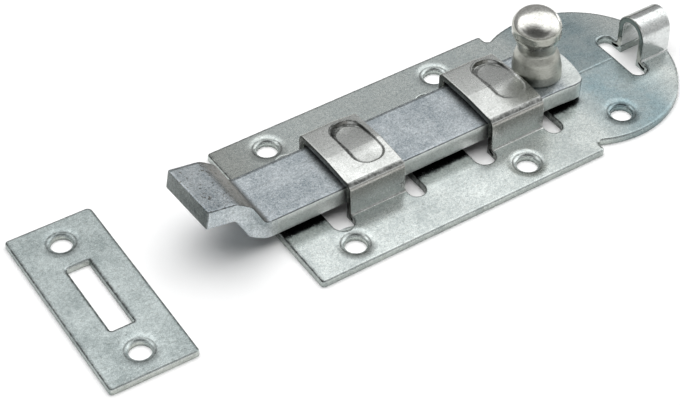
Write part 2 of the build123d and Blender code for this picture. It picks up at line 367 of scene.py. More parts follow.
def sheet_mesh(outline, windows, places, sheet, window_roll, window_shade, extra_points=()):
    """Makes a punched sheet with windows and dished screw holes, its edges rolled.

    The face mark "rim" is painted shade: how dark each band of an edge is painted, counted from the
    top.
    Rolled edges get dark lines where they mirror dark, walls of windows and rims of screw holes darken
    where shade falls, and edges that face along -Y get less, a painted highlight.
    """
    # Points that fill the faces stand this far apart, so that the faces can follow the sheet's relief.
    spacing = 1.1 * MM
    bm = bmesh.new()
    edge_shade_mark = bm.faces.layers.float.new("rim")
    rings_top, rings_bottom = [], []

    def raise_loop(rings, band_shade, vectors=None):
        made = [[bm.verts.new((p.x, p.y, z)) for p in points] for points, z in rings]
        for index, (lower, upper) in enumerate(zip(made, made[1:])):
            for number, face in enumerate(bridge(bm, lower, upper)):
                # Edges that face along -Y keep less of the painted shade: a painted highlight on the
                # lit side.
                lit_edge = smooth_step(0.4, 0.9, vectors[number].y) if vectors else 0.0
                face[edge_shade_mark] = band_shade.get(index - len(made) + 1, 0.0) * (1 - 0.85 * lit_edge)
        rings_bottom.append(made[0])
        rings_top.append(made[-1])

    loops = [(outline, sheet.roll)] + [(window, window_roll) for window in windows]
    for number, (corners, roll) in enumerate(loops):
        points = denser(corners + corners[:1], 1.5 * MM)[:-1]
        into_left = (area(points) > 0) == (number == 0)
        vectors = inward(points, into_left)
        profile = edge_profile(sheet.thickness, roll, sheet.burr)
        # Painted dark lines on the roll; on windows also painted shade low on the walls, where shade
        # falls.
        rolled_edge_shade = {-5: 0.3, -4: 0.9, -3: 0.9, -2: 0.6}
        if number:
            band_shade = rolled_edge_shade | {-9: 0.9, -8: 0.9, -7: window_shade, -6: window_shade, -1: 0.15}
        else:
            band_shade = rolled_edge_shade | {-1: 0.3}
        rings = [([p + v * inset for p, v in zip(points, vectors)], z) for inset, z in profile]
        raise_loop(rings, band_shade, vectors)
    hole_points = 56
    last = 360 - 360 / hole_points
    for x, y in places:
        rings = [(arc((x, y), r, 0, last, hole_points - 1), z) for r, z in screw_profile(sheet)]
        # A painted dark ring round each screw hole's rim, where shade falls.
        raise_loop(rings, {-8: 0.5, -7: 0.75, -6: 0.25})

    holes_top = [[Vector(v.co.xy) for v in ring] for ring in rings_top[1:]]
    rim_top = [Vector(v.co.xy) for v in rings_top[0]]
    low_x, high_x = min(p.x for p in rim_top), max(p.x for p in rim_top)
    low_y, high_y = min(p.y for p in rim_top), max(p.y for p in rim_top)
    free = [Vector(p) for p in extra_points]
    columns, rows = int((high_x - low_x) / spacing), int((high_y - low_y) / spacing)
    for i in range(1, columns):
        for j in range(1, rows):
            shift = 0.25 * spacing * (j % 2)
            free.append(Vector((low_x + i * spacing + shift, low_y + j * spacing)))
    walls = [rim_top] + holes_top
    crowded = 0.35 * spacing
    kept = []
    for point in free:
        if not inside(point, rim_top) or any(inside(point, hole) for hole in holes_top):
            continue
        if all((point - q).length > crowded for wall in walls for q in wall):
            kept.append(point)

    # The faces are triangulated in millimetres, so that the tolerance isn't lost in rounding.
    to_mm = 1000
    for rings, z, up in ((rings_top, sheet.thickness, True), (rings_bottom, 0.0, False)):
        coordinates, vertices, edges = [], [], []
        for ring in rings:
            first = len(coordinates)
            for index, vertex in enumerate(ring):
                coordinates.append(Vector(vertex.co.xy) * to_mm)
                vertices.append(vertex)
                edges.append((first + index, first + (index + 1) % len(ring)))
        if up:
            coordinates += [p * to_mm for p in kept]
        loops = [[Vector(v.co.xy) for v in ring] for ring in rings]
        found, _, faces, origins, _, _ = geometry.delaunay_2d_cdt(coordinates, edges, [], 1, 1e-5)
        made = {}
        for index, place in enumerate(found):
            origin = origins[index][0] if origins[index] else -1
            if 0 <= origin < len(vertices):
                made[index] = vertices[origin]
            else:
                made[index] = bm.verts.new((place.x / to_mm, place.y / to_mm, z))
        for face in faces:
            middle = sum((found[i] for i in face), Vector((0, 0))) / (to_mm * len(face))
            if not inside(middle, loops[0]) or any(inside(middle, hole) for hole in loops[1:]):
                continue
            corners = [made[i] for i in face]
            bm.faces.new(corners if up else corners[::-1])
    loose = [v for v in bm.verts if not v.link_faces]
    bmesh.ops.delete(bm, geom=loose, context="VERTS")
    bmesh.ops.recalc_face_normals(bm, faces=bm.faces)
    return bm


def section(width, thickness, radius, columns, rows=3):
    """Returns a flat strip's rounded section as (across, depth) pairs round its skin."""
    flat = width - 2 * radius
    points = [(radius + flat * i / columns, 0.0) for i in range(columns + 1)]
    for start, centre in ((-90, (width - radius, radius)), (0, (width - radius, thickness - radius))):
        corner = arc(centre, radius, start, start + 90, 4)
        points += [(p.x, p.y) for p in corner[(1 if start == -90 else 0):]]
        if start == -90:
            run = thickness - 2 * radius
            points += [(width, radius + run * i / rows) for i in range(1, rows)]
    points += [(width - radius - flat * i / columns, thickness) for i in range(1, columns + 1)]
    for start, centre in ((90, (radius, thickness - radius)), (180, (radius, radius))):
        corner = arc(centre, radius, start, start + 90, 4)
        points += [(p.x, p.y) for p in corner[1:]]
        if start == 90:
            run = thickness - 2 * radius
            points += [(0.0, thickness - radius - run * i / rows) for i in range(1, rows)]
    return points[:-1]


def sweep(stations, outline, place):
    """Makes a closed solid by carrying a section along stations; place gives each point."""
    bm = bmesh.new()
    rings = []
    for station in stations:
        rings.append([bm.verts.new(place(station, across, depth)) for across, depth in outline])
    for lower, upper in zip(rings, rings[1:]):
        bridge(bm, lower, upper)
    bm.faces.new(rings[0])
    bm.faces.new(rings[-1][::-1])
    bmesh.ops.recalc_face_normals(bm, faces=bm.faces)
    return bm


def with_frames(points):
    """Returns (point, direction, outward normal) along an open line in a plane."""
    frames = []
    for index, here in enumerate(points):
        before = points[max(index - 1, 0)]
        after = points[min(index + 1, len(points) - 1)]
        direction = (after - before).normalized()
        frames.append((here, direction, Vector((-direction.y, direction.x))))
    return frames


def denser(points, spacing):
    """Returns a line with points added so that no step is longer than the spacing."""
    result = [points[0]]
    for a, b in zip(points, points[1:]):
        steps = max(1, math.ceil((b - a).length / spacing))
        result += [a.lerp(b, i / steps) for i in range(1, steps + 1)]
    return result


def smooth_step(low, high, value):
    """Returns 0 below low, 1 above high and a smooth rise between them."""
    share = min(1.0, max(0.0, (value - low) / (high - low)))
    return share * share * (3 - 2 * share)


def cut_wall(face):
    """Tells how bare a punched sheet's face is: its cut walls."""
    return 0.6 * smooth_step(0.5, 0.3, abs(face.normal.z))


def lit_near_wall(face):
    """Returns how much painted highlight a wall gets that faces along -Y."""
    return 0.9 * smooth_step(0.5, 0.9, -face.normal.y)


def edge_wear(face):
    """Tells how bare a strap's face is: its sheared sides, and the outside of its far bend."""
    if abs(face.normal.x) > 0.8:
        return 1.0
    return 0.85 if 0.25 < face.normal.y < 0.9 else 0.0


def finish_piece(bm, name, body, material, context, marks=None, weighted=False):
    """Turns a bmesh into a smooth-shaded object that rides on its body, its faces marked for wear and
    for painted shade and highlights.
    """
    bm.normal_update()
    for attribute, share_of in (marks or {}).items():
        layer = bm.faces.layers.float.new(attribute)
        for face in bm.faces:
            face[layer] = share_of(face)
    mesh = bpy.data.meshes.new(name)
    bm.to_mesh(mesh)
    bm.free()
    mesh.shade_smooth()
    piece = bpy.data.objects.new(name, mesh)
    context.scene.collection.objects.link(piece)
    mesh.materials.append(material)
    if weighted:
        normals = piece.modifiers.new("Flat faces stay flat", "WEIGHTED_NORMAL")
        normals.weight = 100
        normals.keep_sharp = True
    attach(piece, body)
    return piece


# Zinc-plated steel


def linear(value):
    """Turns an sRGB hex value into linear red, green, blue and alpha."""
    channels = []
    for start in (0, 2, 4):
        part = int(value[start:start + 2], 16) / 255
        channels.append(part / 12.92 if part <= 0.04045 else ((part + 0.055) / 1.055) ** 2.4)
    return (*channels, 1.0)


def add(tree, kind, settings=None, inputs=None):
    """Adds a node with its settings; each input is a value or another node's output."""
    node = tree.nodes.new(kind)
    for key, value in (settings or {}).items():
        setattr(node, key, value)
    for key, value in (inputs or {}).items():
        if isinstance(value, bpy.types.NodeSocket):
            tree.links.new(value, node.inputs[key])
        else:
            node.inputs[key].default_value = value
    return node


# Settings of Mix nodes and of Math nodes
NUMBERS = {"data_type": "FLOAT"}
COLOURS = {"data_type": "RGBA"}
GLAZE = {"data_type": "RGBA", "blend_type": "MULTIPLY"}
TIMES = {"operation": "MULTIPLY"}
PLUS = {"operation": "ADD"}


def new_material(name):
    """Returns an empty node material and its tree."""
    material = bpy.data.materials.new(name)
    material.use_nodes = True
    material.node_tree.nodes.clear()
    return material, material.node_tree


def zinc_material(
    context, name, light, dark, roughness, grain_mm, stretch=(1, 1, 1), dents=0.2, lane=None
):
    """Zinc-plated steel: a satin grey metal whose fine crystals mottle its tone and its gloss.

    Light and dark are its two tones. Grain_mm is the width of its small patches, which stretch draws
    out, and dents is how strongly they stand up. Lane gives the strip under and beside the bar that is
    painted dark as shade: half its width and its left and right ends. Face marks of the mesh say where
    the zinc is worn, and where shade and highlights are painted on.
    """
    # Inputs 0 to 4 of a Map Range node are its value, the range it comes from and the one it goes to.
    # Input 0 of a Mix node is its share; 2 and 3 are its two numbers, 6 and 7 its two colours.
    zinc = group(context, "zinc")
    material, tree = new_material(name)
    point = add(tree, "ShaderNodeTexCoord").outputs["Object"]
    drawn = add(tree, "ShaderNodeMapping", None, {"Vector": point, "Scale": stretch}).outputs[0]
    lengthways = {"Vector": point, "Scale": (0.06, 1, 1)}
    lengthways = add(tree, "ShaderNodeMapping", None, lengthways).outputs[0]

    # Each pattern's width is in millimetres. The plating's real crystals are finer than a pixel, so
    # they are drawn about 0.2 mm wide.
    patterns = {}
    for key, width_mm, detail, vector in (
        ("blotches", 7, 4.0, point),
        ("grain", grain_mm, 3.0, drawn),
        ("crystals", 0.22, 2.0, drawn),
        ("specks", 0.8, 5.0, point),
        ("scratches", 0.5, 2.0, lengthways),
        ("streaks", 0.9, 3.0, point),
        ("frayed", 2.0, 4.0, point),
    ):
        inputs = {"Vector": vector, "Scale": 1 / (width_mm * MM), "Detail": detail, "Roughness": 0.65}
        patterns[key] = add(tree, "ShaderNodeTexNoise", None, inputs).outputs["Fac"]
    marks = {}
    for key in ("battered", "side", "worn", "sheared", "rim", "grease", "dull"):
        marks[key] = add(tree, "ShaderNodeAttribute", {"attribute_name": key}).outputs["Fac"]

    # The two tones of the mottled zinc, and the paler ones of a painted highlight on flanks.
    halves = {0: 0.5, 2: patterns["blotches"], 3: patterns["grain"]}
    cloud = add(tree, "ShaderNodeMix", NUMBERS, halves).outputs[0]
    halves = {0: 0.45, 2: cloud, 3: patterns["crystals"]}
    mottle = add(tree, "ShaderNodeMix", NUMBERS, halves).outputs[0]
    tone = add(tree, "ShaderNodeMapRange", None, {0: mottle, 1: 0.4, 2: 0.6}).outputs[0]
    tones = {0: tone, 6: linear(dark), 7: linear(light)}
    colour = add(tree, "ShaderNodeMix", COLOURS, tones).outputs[2]
    tones = {0: tone, 6: linear(zinc.flank_highlight_dark), 7: linear(zinc.flank_highlight_light)}
    lit_flank = add(tree, "ShaderNodeMix", COLOURS, tones).outputs[2]

    # How far each kind of wear, painted shade and painted highlight shows at a place.
    pits = add(tree, "ShaderNodeMapRange", None, {0: patterns["specks"], 1: 0.43, 2: 0.34}).outputs[0]
    battered = add(tree, "ShaderNodeMath", PLUS, {0: marks["battered"], 1: 0.3}).outputs[0]
    pitted = add(tree, "ShaderNodeMath", TIMES, {0: pits, 1: battered}).outputs[0]
    inputs = {0: patterns["scratches"], 1: 0.64, 2: 0.72, 4: 0.25}
    scratched = add(tree, "ShaderNodeMapRange", None, inputs).outputs[0]
    inputs = {0: patterns["streaks"], 1: 0.4, 2: 0.6, 3: 0.55, 4: 1.0}
    streaks = add(tree, "ShaderNodeMapRange", None, inputs).outputs[0]
    # Painted shade: dark lines along edges, bends and rims, broken up by streaks.
    rim = add(tree, "ShaderNodeMath", TIMES, {0: marks["rim"], 1: streaks}).outputs[0]
    # Pits and scratches are wear; the "side" mark is a painted highlight and the "rim" mark painted
    # shade; the "worn" mark is real wear on the bar, painted shade on the straps' near legs and a
    # darker patch on the plate.
    layers = [
        (pitted, linear(zinc.worn), GLAZE),
        (scratched, linear(zinc.rim), COLOURS),
        (marks["side"], lit_flank, COLOURS),
        (marks["worn"], linear(zinc.worn), GLAZE),
        (marks["sheared"], linear(zinc.sheared), GLAZE),
        (rim, linear(zinc.rim), COLOURS),
    ]

    # Painted shade: marked faces are darkened where shade falls; on the plate only along a frayed lane
    # under and beside the bar.
    shade_share = marks["grease"]
    if lane:
        half_width, left, right = lane
        axes = add(tree, "ShaderNodeSeparateXYZ", None, {"Vector": point}).outputs
        off_line = add(tree, "ShaderNodeMath", {"operation": "ABSOLUTE"}, {0: axes["Y"]}).outputs[0]
        inputs = {0: patterns["frayed"], 1: 0.3, 2: 0.7, 3: -0.8 * MM, 4: 0.8 * MM}
        frayed = add(tree, "ShaderNodeMapRange", None, inputs).outputs[0]
        off_line = add(tree, "ShaderNodeMath", PLUS, {0: off_line, 1: frayed}).outputs[0]
        for value, outer, inner, most in (
            (off_line, half_width, half_width - 1.3 * MM, 0.9),
            (axes["X"], right, right - 3 * MM, 1.0),
            (axes["X"], left, left + 2 * MM, 1.0),
        ):
            inputs = {0: value, 1: outer, 2: inner, 4: most}
            under_bar = add(tree, "ShaderNodeMapRange", None, inputs).outputs[0]
            shade_share = add(tree, "ShaderNodeMath", TIMES, {0: shade_share, 1: under_bar}).outputs[0]
        # The round head has a bluer stain between the bar's end and the padlock eye.
        inputs = {0: patterns["blotches"], 1: 0.3, 2: 0.6, 3: 0.4, 4: 1.0}
        stained = add(tree, "ShaderNodeMapRange", None, inputs).outputs[0]
        for outer, inner in ((right - 4 * MM, right + 3 * MM), (63 * MM, 55 * MM)):
            inputs = {0: axes["X"], 1: outer, 2: inner}
            on_head = add(tree, "ShaderNodeMapRange", None, inputs).outputs[0]
            stained = add(tree, "ShaderNodeMath", TIMES, {0: stained, 1: on_head}).outputs[0]
        layers.append((stained, linear(zinc.stain), GLAZE))
    layers.append((shade_share, linear(zinc.grease), COLOURS))
    for share, over, blending in layers:
        colour = add(tree, "ShaderNodeMix", blending, {0: share, 6: colour, 7: over}).outputs[2]

    # The gloss changes from patch to patch, and the grain stands up a little.
    halves = {0: 0.5, 2: patterns["blotches"], 3: patterns["specks"]}
    patches = add(tree, "ShaderNodeMix", NUMBERS, halves).outputs[0]
    inputs = {0: patches, 1: 0.35, 2: 0.65, 3: roughness + 0.07, 4: roughness - 0.05}
    gloss = add(tree, "ShaderNodeMapRange", None, inputs).outputs[0]
    duller = add(tree, "ShaderNodeMath", TIMES, {0: marks["dull"], 1: 0.2}).outputs[0]
    gloss = add(tree, "ShaderNodeMath", PLUS, {0: gloss, 1: duller}).outputs[0]
    halves = {0: 0.5, 2: patterns["grain"], 3: patterns["crystals"]}
    height = add(tree, "ShaderNodeMix", NUMBERS, halves).outputs[0]
    inputs = {"Strength": dents, "Distance": 0.02 * MM, "Height": height}
    bump = add(tree, "ShaderNodeBump", None, inputs).outputs["Normal"]
    inputs = {"Base Color": colour, "Roughness": gloss, "Normal": bump, "Metallic": 1.0}
    metal = add(tree, "ShaderNodeBsdfPrincipled", None, inputs)
    add(tree, "ShaderNodeOutputMaterial", None, {"Surface": metal.outputs["BSDF"]})
    return material


def turned_tree():
    """Builds the node tree that turns a profile round the Z axis, as a lathe does."""
    tree = bpy.data.node_groups.new("turned_on_a_lathe", "GeometryNodeTree")
    for name, kind in (
        ("Profile", "Geometry"),
        ("Steps along", "Int"),
        ("Steps round", "Int"),
        ("Tool mark depth", "Float"),
        ("Tool mark spacing", "Float"),
        ("Material", "Material"),
    ):
        tree.interface.new_socket(name, in_out="INPUT", socket_type="NodeSocket" + kind)
    tree.interface.new_socket("Geometry", in_out="OUTPUT", socket_type="NodeSocketGeometry")
    given = add(tree, "NodeGroupInput").outputs
    line = add(tree, "GeometryNodeMeshToCurve", None, {"Mesh": given["Profile"]}).outputs["Curve"]
    steps = {"Vertices X": given["Steps along"], "Vertices Y": given["Steps round"]}
    size = {"Size X": 1.0, "Size Y": 1.0}
    grid = add(tree, "GeometryNodeMeshGrid", None, size | steps).outputs["Mesh"]
    position = add(tree, "GeometryNodeInputPosition").outputs[0]
    spot = add(tree, "ShaderNodeSeparateXYZ", None, {"Vector": position}).outputs
    along = add(tree, "ShaderNodeMath", PLUS, {0: spot["X"], 1: 0.5}).outputs[0]
    turn = add(tree, "ShaderNodeMath", TIMES, {0: spot["Y"], 1: math.tau}).outputs[0]
    profile = {"Curves": line, "Factor": along}
    sample = add(tree, "GeometryNodeSampleCurve", {"mode": "FACTOR"}, profile).outputs
    # The tool leaves one ring in each spacing, as a shallow wave along the profile's normal.
    place = add(tree, "ShaderNodeSeparateXYZ", None, {"Vector": sample["Position"]}).outputs
    pitch = {0: place["Z"], 1: given["Tool mark spacing"]}
    count = add(tree, "ShaderNodeMath", {"operation": "DIVIDE"}, pitch).outputs[0]
    phase = add(tree, "ShaderNodeMath", TIMES, {0: count, 1: math.tau}).outputs[0]
    wave = add(tree, "ShaderNodeMath", {"operation": "SINE"}, {0: phase}).outputs[0]
    groove = add(tree, "ShaderNodeMath", TIMES, {0: wave, 1: given["Tool mark depth"]}).outputs[0]
    cut = {0: sample["Normal"], "Scale": groove}
    cut = add(tree, "ShaderNodeVectorMath", {"operation": "SCALE"}, cut).outputs[0]
    skin = add(tree, "ShaderNodeVectorMath", PLUS, {0: sample["Position"], 1: cut}).outputs[0]
    spin = {"Vector": skin, "Angle": turn}
    turned = add(tree, "ShaderNodeVectorRotate", {"rotation_type": "Z_AXIS"}, spin).outputs[0]
    moved = {"Geometry": grid, "Position": turned}
    shape = add(tree, "GeometryNodeSetPosition", None, moved).outputs[0]
    # The seam and the two poles are closed by merging what lies closer than half a thousandth of a mm.
    seam = {"Geometry": shape, "Distance": 0.5e-6}
    closed = add(tree, "GeometryNodeMergeByDistance", None, seam).outputs[0]
    real = add(tree, "GeometryNodeRealizeInstances", None, {"Geometry": closed}).outputs[0]
    dressed = {"Geometry": real, "Material": given["Material"]}
    last = add(tree, "GeometryNodeSetMaterial", None, dressed).outputs[0]
    add(tree, "NodeGroupOutput", None, {"Geometry": last})
    return tree


def run_tree(context, tree, mesh, values):
    """Runs a node tree on a mesh, its inputs given by name, and returns the plain mesh it makes."""
    carrier = bpy.data.objects.new("carrier", mesh)
    context.scene.collection.objects.link(carrier)
    modifier = carrier.modifiers.new("tree", "NODES")
    modifier.node_group = tree
    for socket in tree.interface.items_tree:
        if socket.name in values:
            modifier[socket.identifier] = values[socket.name]
    made = bpy.data.meshes.new_from_object(carrier.evaluated_get(context.evaluated_depsgraph_get()))
    carrier.modifiers.remove(modifier)
    bpy.data.objects.remove(carrier)
    return made


# Operators


def plate_relief(sheet, plate):
    """Returns the function that gives how far the stamped sheet stands up at a place."""
    half = plate.width / 2
    # Hand-flattened sheet swells by a few hundredths of a millimetre in patches of about a centimetre.
    swell, patch_x, patch_y = 0.03 * MM, 11 * MM, 9 * MM
    groove_depth, groove_width = 0.05 * MM, 0.14 * MM

    def relief(x, y):
        off_crease = y - plate.crease_line
        crown = sheet.crown * (1 - min(1.0, abs(off_crease) / half))
        wave = swell * (1 + noise.noise(Vector((x / patch_x, y / patch_y, 0.3))))
        groove = 0.0
        if x > plate.crease_start:
            groove = groove_depth * math.exp(-((off_crease / groove_width) ** 2))
        return crown + wave - groove

    return relief


class OBJECT_OT_barrel_bolt_backplate(bpy.types.Operator):
    """Make the stamped backplate with its round head, slots and screw holes"""

    bl_idname = "object.barrel_bolt_backplate"
    bl_label = "Backplate"

    def execute(self, context):
        sheet, plate = group(context, "sheet"), group(context, "plate")
        strap, eye, zinc = group(context, "strap"), group(context, "eye"), group(context, "zinc")
        half = plate.width / 2
        neck = math.sqrt(plate.head_radius**2 - (plate.head_centre - plate.right) ** 2)
        neck_angle = math.degrees(math.asin(neck / plate.head_radius))
        inner = eye.half - sheet.thickness
        near, far = eye.centre_y - inner, eye.centre_y + inner
        near_angle = math.degrees(math.asin(near / plate.head_radius))
        far_angle = math.degrees(math.asin(far / plate.head_radius))
        centre = (plate.head_centre, 0)
        lower = arc(centre, plate.head_radius, -180 + neck_angle + 5, near_angle - 0.3, 56)
        upper = arc(centre, plate.head_radius, far_angle + 0.3, 180 - neck_angle - 5, 56)
        cut_left = eye.left - eye.cutout_width
        cut_low, cut_high = eye.centre_y - eye.cutout_half, eye.centre_y + eye.cutout_half

        def rim(y):
            """Gives the place along X of the round head's rim."""
            return plate.head_centre + math.sqrt(plate.head_radius**2 - y * y)

        corners = [
            (plate.left, -half, plate.corner),
            (plate.right, -half, plate.corner),
            (plate.right, -neck, plate.neck_fillet),
            *[(p.x, p.y, 0) for p in lower],
            (rim(near), near, 0),
            (eye.left, near, 0.2 * MM),
            (eye.left, cut_low, eye.cutout_corner),
            (cut_left, cut_low, eye.cutout_corner),
            (cut_left, cut_high, eye.cutout_corner),
            (eye.left, cut_high, eye.cutout_corner),
            (eye.left, far, 0.2 * MM),
            (rim(far), far, 0),
            *[(p.x, p.y, 0) for p in upper],
            (plate.right, neck, plate.neck_fillet),
            (plate.right, half, plate.corner),
            (plate.left, half, plate.corner),
        ]
        outline = rounded(corners)
        windows = []
        for centre_x in (strap.first_x, strap.second_x):
            left, right = centre_x - strap.width / 2, centre_x + strap.width / 2
            out_left, out_right = left - strap.slot_left, right + strap.slot_right
            long, short = strap.slot_half, strap.foot_half - sheet.thickness
            left_end, right_end = strap.slot_left * 0.495, strap.slot_right * 0.495
            near_half = [(out_left, -long, left_end), (left, -long, left_end), (left, -short, 0)]
            near_half += [(right, -short, 0), (right, -long, right_end), (out_right, -long, right_end)]
            far_half = [(x, -y, radius) for x, y, radius in reversed(near_half)]
            windows.append(rounded(near_half + far_half))
        x, y = plate.hole_spacing_x / 2, plate.hole_spacing_y / 2
        places = [(-x, -y), (x, -y), (-x, y), (x, y)]
        places += [(plate.head_hole_x, -plate.head_hole_y), (plate.head_hole_x, plate.head_hole_y)]
        # Extra points let the mesh follow the fine crease between the bar and the eye.
        crease, spacing = [], 0.5 * MM
        for step in range(int((cut_left - plate.crease_start) / spacing)):
            for shift in (-0.4, -0.2, 0.0, 0.2, 0.4):
                crease.append((plate.crease_start + step * spacing, plate.crease_line + shift * MM))
        # The backplate's slots get strong painted shade on their walls.
        bm = sheet_mesh(outline, windows, places, sheet, sheet.window_roll, 0.8, crease)
        relief = plate_relief(sheet, plate)
        for vertex in bm.verts:
            vertex.co.z += relief(vertex.co.x, vertex.co.y) * vertex.co.z / sheet.thickness
        lane = (9 * MM, plate.left, plate.crease_start + 5 * MM)
        # Zinc-plated sheet as it leaves the press: satin, a cool grey and blotchy from handling, with
        # painted shade along the lane under and beside the bar.
        material = zinc_material(
            context,
            "zinc_plated_sheet",
            zinc.plate_light,
            zinc.plate_dark,
            roughness=0.26,
            grain_mm=0.6,
            lane=lane,
        )

        def top_face(face):
            return smooth_step(0.5, 0.8, face.normal.z)

        def worn(face):
            # The far left quarter of the top is made darker and browner, and the near right one a
            # little.
            x, y, _ = face.calc_center_median() / MM
            far_left = smooth_step(-14, -32, x) * smooth_step(4, 10, y)
            near_right = smooth_step(18, 34, x) * smooth_step(-6, -13, y)
            return (0.45 * far_left + 0.12 * near_right) * top_face(face)

        # The top faces carry the painted shade of the lane under the bar.
        marks = {"sheared": cut_wall, "grease": top_face, "worn": worn}
        piece = finish_piece(
            bm, "backplate_sheet", "plate", material, context, marks, weighted=True
        )
        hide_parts("backplate")
        return {"FINISHED"}


class OBJECT_OT_barrel_bolt_straps(bpy.types.Operator):
    """Make the two strap guides with their pressed dimples"""

    bl_idname = "object.barrel_bolt_straps"
    bl_label = "Strap guides"

    def execute(self, context):
        sheet, plate = group(context, "sheet"), group(context, "plate")
        strap, zinc = group(context, "strap"), group(context, "zinc")
        relief = plate_relief(sheet, plate)
        surface = sheet.thickness
        foot, top_half, fr = strap.foot_half, strap.top_half, strap.foot_radius
        # Seen along the bolt: a foot that sinks just below the sheet's face, a leg and the top.
        near_half = [
            (-(foot + 1.6 * MM), surface - 0.05 * MM, 0),
            (-(foot + 0.9 * MM), surface - 0.004 * MM, 0),
            (-foot, surface, fr),
            (-top_half, strap.top, strap.bend),
        ]
        corners = near_half + [(-y, z, radius) for y, z, radius in reversed(near_half)]
        # The mesh is fine on the top alone, where the dimple is pressed in.
        line = []
        for a, b in itertools.pairwise(rounded(corners, closed=False, step_angle=8)):
            on_top = min(a.y, b.y) > strap.top - 0.01 * MM
            line += denser([a, b], (0.11 if on_top else 0.4) * MM)[:-1]
        stations = with_frames(line + [Vector(corners[-1][:2])])
        outline = section(strap.width, sheet.thickness, radius=0.22 * MM, columns=120)
        # The same zinc after the press has rubbed it: lighter and a little warmer than the flat sheet.
        material = zinc_material(
            context,
            "zinc_plated_strap",
            zinc.strap_light,
            zinc.strap_dark,
            roughness=0.27,
            grain_mm=0.5,
        )
        # Each strap's top is a little arched, tilted and bent down at its far right corner.
        crown, tilt, corner_droop = 0.22 * MM, 0.016, 0.4 * MM

        def leg_painted_shade(face):
            # Painted shade on the near leg, darker towards its bend; the next mark paints it brighter
            # towards its foot.
            height = face.calc_center_median().z
            return 0.55 * smooth_step(4 * MM, 7.5 * MM, height) * (face.normal.y < -0.8)

        # Painted highlight on the near leg, brighter towards its foot.
        def leg_painted_highlight(face):
            height = face.calc_center_median().z
            return 0.7 * smooth_step(6 * MM, 2 * MM, height) * (face.normal.y < -0.8)

        # A dimple's shift from the strap's middle, the share of its depth at the near end and how much
        # painted shade it gets
        for name, centre_x, shift_x, near_share, dimple_shade in (
            ("strap_guide_first", strap.first_x, 1.9 * MM, 0.5, 0.75),
            ("strap_guide_second", strap.second_x, 2.5 * MM, 0.12, 0.3),
        ):
            left = centre_x - strap.width / 2
            dimple_x, dimple_y = centre_x + shift_x, 0.9 * MM

            def place(station, across, depth):
                point, _, normal = station
                x = left + across
                y, z = point - normal * depth
                over = smooth_step(surface, strap.top, z)
                z += relief(x, y)
                if z > strap.top - 2.5 * MM:
                    z += over * self.pressed(strap, x - dimple_x, y - dimple_y, near_share)
                    z += over * crown * (1 - min(1.0, abs(y) / (8 * MM)) ** 2)
                    z += over * tilt * (y + top_half)
                    droop = smooth_step(0.62, 1.0, across / strap.width)
                    z -= over * corner_droop * droop * smooth_step(-1 * MM, 6 * MM, y)
                return Vector((x, y, z))

            def painted_dark_lines(face):
                # Painted dark lines where the near foot lies in shade, where the near bend mirrors
                # dark, and round the dimple's rim.
                middle, up = face.calc_center_median(), face.normal.z
                if middle.y < -foot + 1.5 * MM and middle.z < surface + 1 * MM:
                    return 0.5 * smooth_step(0.2, 0.5, up) * smooth_step(0.98, 0.9, up)
                if middle.y < -top_half + 2 * MM and middle.z > strap.top - 2 * MM:
                    return 0.8 * smooth_step(0.6, 0.7, up) * smooth_step(0.99, 0.96, up)
                if up < 0.5:
                    return 0.0
                x, y = middle.x - dimple_x, middle.y - dimple_y
                far = smooth_step(0.2 * strap.dimple_length, 0.4 * strap.dimple_length, y)
                wide = (0.4 + 0.4 * far + 0.2 * smooth_step(0, -1 * MM, x)) * MM
                line = smooth_step(wide, wide - 0.2 * MM, abs(self.outside(strap, x, y) + wide / 2))
                fade = smooth_step(-0.5 * strap.dimple_length, -0.2 * strap.dimple_length, y)
                return line * fade * (0.5 + 0.65 * dimple_shade * max(smooth_step(0, -1 * MM, x), 0.8 * far))

            def inner(face):
                # Painted shade on the inside, on the cut edges towards the tip and on the dimple's far
                # wall.
                middle = face.calc_center_median()
                inward = -face.normal.y * math.copysign(1, middle.y)
                if middle.z > 6 * MM:
                    inward = -face.normal.z
                shaded_cut_edge = 0.8 * smooth_step(0.5, 0.9, -face.normal.x)
                x, y = middle.x - dimple_x, middle.y - dimple_y
                wall = smooth_step(0.5 * MM, 0.2 * MM, abs(self.outside(strap, x, y) + 0.3 * MM))
                wall *= smooth_step(-2 * MM, 4 * MM, y) * smooth_step(2.5 * MM, -1 * MM, x)
                wall *= face.normal.z > 0.4
                return max(smooth_step(0.4, 0.8, inward), shaded_cut_edge, dimple_shade * wall)

            bm = sweep(stations, outline, place)
            marks = {"sheared": edge_wear, "rim": painted_dark_lines, "grease": inner}
            marks |= {"worn": leg_painted_shade, "side": leg_painted_highlight}
            finish_piece(bm, name, "plate", material, context, marks)
        return {"FINISHED"}

    @staticmethod
    def outside(strap, x, y):
        """Returns how far a place, measured from the dimple's middle, lies outside its outline."""
        corner = strap.dimple_corner
        dx, dy = abs(x) - strap.dimple_width / 2 + corner, abs(y) - strap.dimple_length / 2 + corner
        return math.hypot(max(dx, 0), max(dy, 0)) + min(max(dx, dy), 0) - corner

    @classmethod
    def pressed(cls, strap, x, y, near_share):
        """Returns how far the dimple lowers the strap at a place measured from its middle."""
        half_y = strap.dimple_length / 2
        outside = cls.outside(strap, x, y)
        share = near_share + (1 - near_share) * smooth_step(-0.5 * half_y, half_y, y)
        rim = smooth_step(0.1 * MM, -0.5 * MM, outside)
        bowl = 1 - (1 - min(1.0, max(0.0, -outside) / (strap.dimple_width / 2))) ** 2
        return -strap.dimple_depth * share * (0.8 * rim + 0.2 * bowl)


